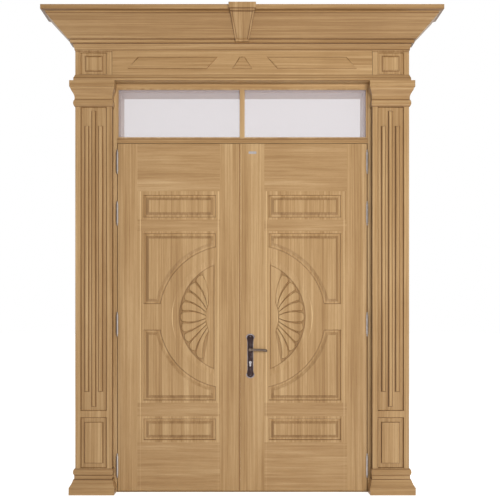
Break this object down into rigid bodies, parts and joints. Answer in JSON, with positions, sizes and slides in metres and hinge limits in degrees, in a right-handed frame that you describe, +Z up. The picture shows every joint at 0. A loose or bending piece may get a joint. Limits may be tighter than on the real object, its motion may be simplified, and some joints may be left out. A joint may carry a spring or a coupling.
{
  "type": "double door",
  "caption": "Wood-grain steel double door in a deep frame with fluted pilasters, glazed transom and coved cornice; the embossed leaves swing outward on butt hinges.",
  "frame": {"origin": "floor level, middle of the doorway, middle of the closed leaves' thickness", "axes": "+Z up, +X to the right seen from outside, -Y out of the front face, towards the viewer"},
  "size_m": [2.476, 0.508, 3.047],
  "materials": {
    "wood_print": "satin wood-grain print",
    "clear_glass": "clear",
    "hinge_steel": "satin",
    "dark_bronze": "polished dark bronze",
    "lock_steel": "satin",
    "zinc_steel": "galvanised",
    "black_rubber": "matte",
    "core_board": "raw paper board"
  },
  "bodies": {
    "frame": {"cornice_front": "wood_print", "foot_moulding": "wood_print", "frame_gasket": "black_rubber", "frame_head": "wood_print", "frieze_panel": "wood_print", "keystone": "wood_print", "left_capital": "wood_print", "left_corner_block": "wood_print", "left_cornice_return": "wood_print", "left_glass": "clear_glass", "left_glazing_beads": "wood_print", "left_hinge_frame_halves": "hinge_steel", "left_hinge_pins": "hinge_steel", "left_jamb": "wood_print", "left_pilaster": "wood_print", "left_plinth": "wood_print", "left_wall_straps": "zinc_steel", "right_capital": "wood_print", "right_corner_block": "wood_print", "right_cornice_return": "wood_print", "right_glass": "clear_glass", "right_glazing_beads": "wood_print", "right_hinge_frame_halves": "hinge_steel", "right_hinge_pins": "hinge_steel", "right_jamb": "wood_print", "right_pilaster": "wood_print", "right_plinth": "wood_print", "right_wall_straps": "zinc_steel", "threshold": "wood_print", "transom_bar": "wood_print", "transom_mullion": "wood_print"},
    "left_leaf": {"left_front_skin": "wood_print", "left_back_skin": "wood_print", "left_core": "core_board", "left_hinge_leaf_halves": "hinge_steel", "strike_plate": "lock_steel", "top_flush_plate": "lock_steel", "bottom_flush_plate": "lock_steel", "meeting_seal": "black_rubber"},
    "right_leaf": {"right_front_skin": "wood_print", "right_back_skin": "wood_print", "right_core": "core_board", "right_hinge_leaf_halves": "hinge_steel", "lock_case": "zinc_steel", "lock_faceplate": "lock_steel", "lock_cylinder": "lock_steel", "outer_escutcheon": "dark_bronze", "inner_escutcheon": "dark_bronze"},
    "lever": {"outer_lever": "dark_bronze", "inner_lever": "dark_bronze", "spindle": "lock_steel"},
    "latch": {"latch_bolt": "lock_steel"},
    "deadbolt": {"deadbolt": "lock_steel"},
    "thumb_turn": {"thumb_turn": "dark_bronze"},
    "top_bolt": {"top_flush_bolt": "lock_steel"},
    "bottom_bolt": {"bottom_flush_bolt": "lock_steel"}
  },
  "joints": [
    {"name": "right_leaf_swing", "type": "hinge", "parent": "frame", "child": "right_leaf", "pos_m": [0.799, -0.033, 1.1], "axis": [0, 0, 1], "range_deg": [0, 90]},
    {"name": "left_leaf_swing", "type": "hinge", "parent": "frame", "child": "left_leaf", "pos_m": [-0.799, -0.033, 1.1], "axis": [0, 0, -1], "range_deg": [0, 90]},
    {"name": "lever_turn", "type": "hinge", "parent": "right_leaf", "child": "lever", "pos_m": [0.052, 0, 0.912], "axis": [0, 1, 0], "range_deg": [0, 40], "stiffness_Nm_per_rad": 1.5, "springref_deg": -28.65},
    {"name": "latch_slide", "type": "slide", "parent": "right_leaf", "child": "latch", "axis": [1, 0, 0], "range_m": [0, 0.0036]},
    {"name": "thumb_turn_turn", "type": "hinge", "parent": "right_leaf", "child": "thumb_turn", "pos_m": [0.052, 0, 0.83], "axis": [0, 1, 0], "range_deg": [0, 90]},
    {"name": "deadbolt_slide", "type": "slide", "parent": "right_leaf", "child": "deadbolt", "axis": [-1, 0, 0], "range_m": [0, 0.02]},
    {"name": "top_bolt_slide", "type": "slide", "parent": "left_leaf", "child": "top_bolt", "axis": [0, 0, 1], "range_m": [0, 0.008]},
    {"name": "bottom_bolt_slide", "type": "slide", "parent": "left_leaf", "child": "bottom_bolt", "axis": [0, 0, -1], "range_m": [0, 0.008]}
  ],
  "couplings": [
    {"joint": "latch_slide", "follows": "lever_turn", "m_per_rad": 0.00515},
    {"joint": "thumb_turn_turn", "follows": "deadbolt_slide", "rad_per_m": 78.54}
  ]
}
